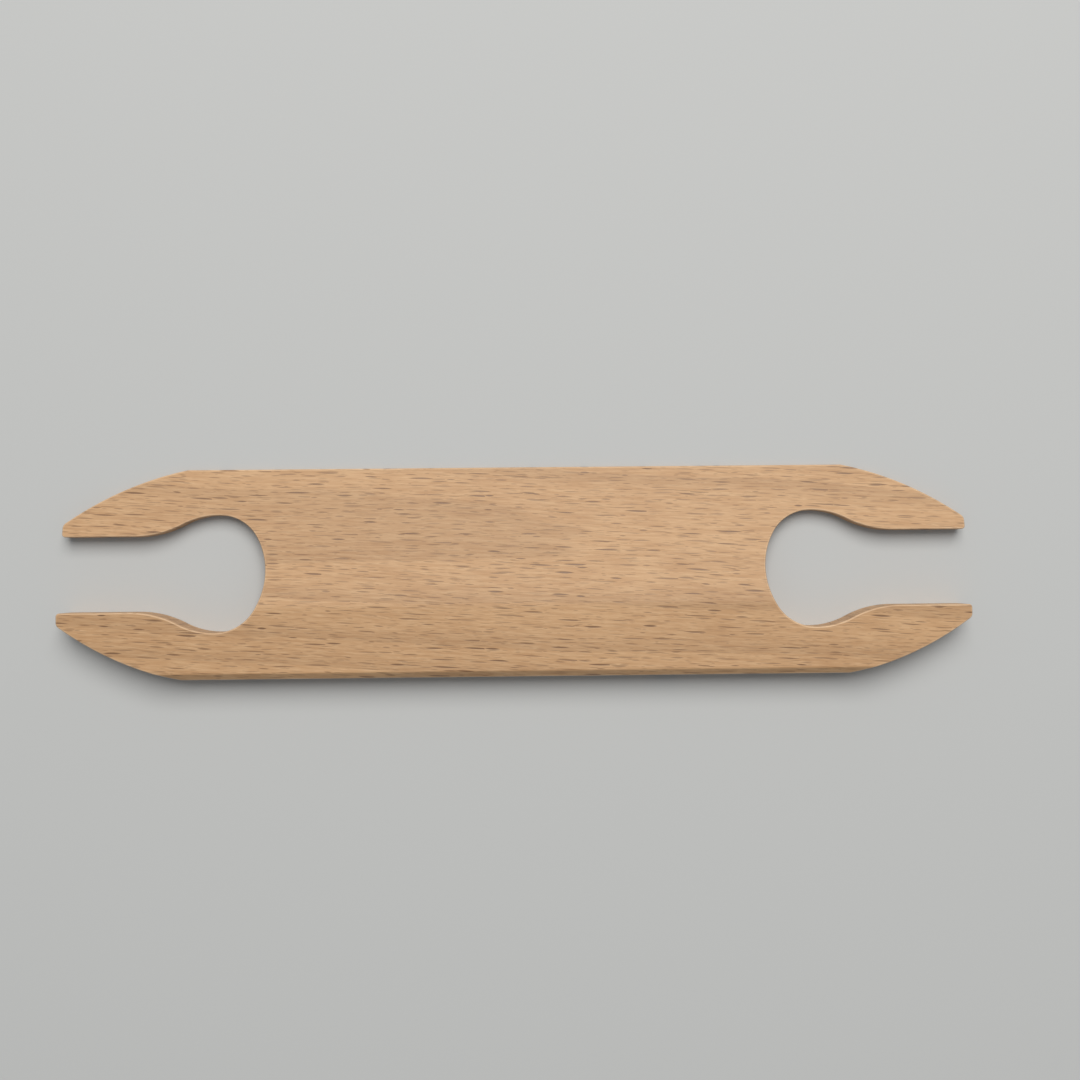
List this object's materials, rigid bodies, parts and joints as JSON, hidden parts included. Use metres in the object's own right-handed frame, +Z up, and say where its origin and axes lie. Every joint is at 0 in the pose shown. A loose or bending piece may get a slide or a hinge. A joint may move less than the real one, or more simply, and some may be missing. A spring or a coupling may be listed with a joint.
{
  "type": "belt weaving shuttle",
  "caption": "Flat wooden belt-weaving shuttle with forked ends, keyhole yarn notches, a thick back edge and one long bevelled edge for beating the weft.",
  "frame": {"origin": "middle of the flat underside, which lies in the plane Z = 0", "axes": "+X along the grain from tip to tip, +Y from the thick back edge to the thin beating edge, +Z up out of the bevelled face"},
  "size_m": [0.22, 0.051, 0.008],
  "materials": {
    "beech": "sanded beech with a thin satin oil finish, grain along the length, brown ray flecks"
  },
  "bodies": {
    "root": {"shuttle_body": "beech"}
  },
  "joints": []
}
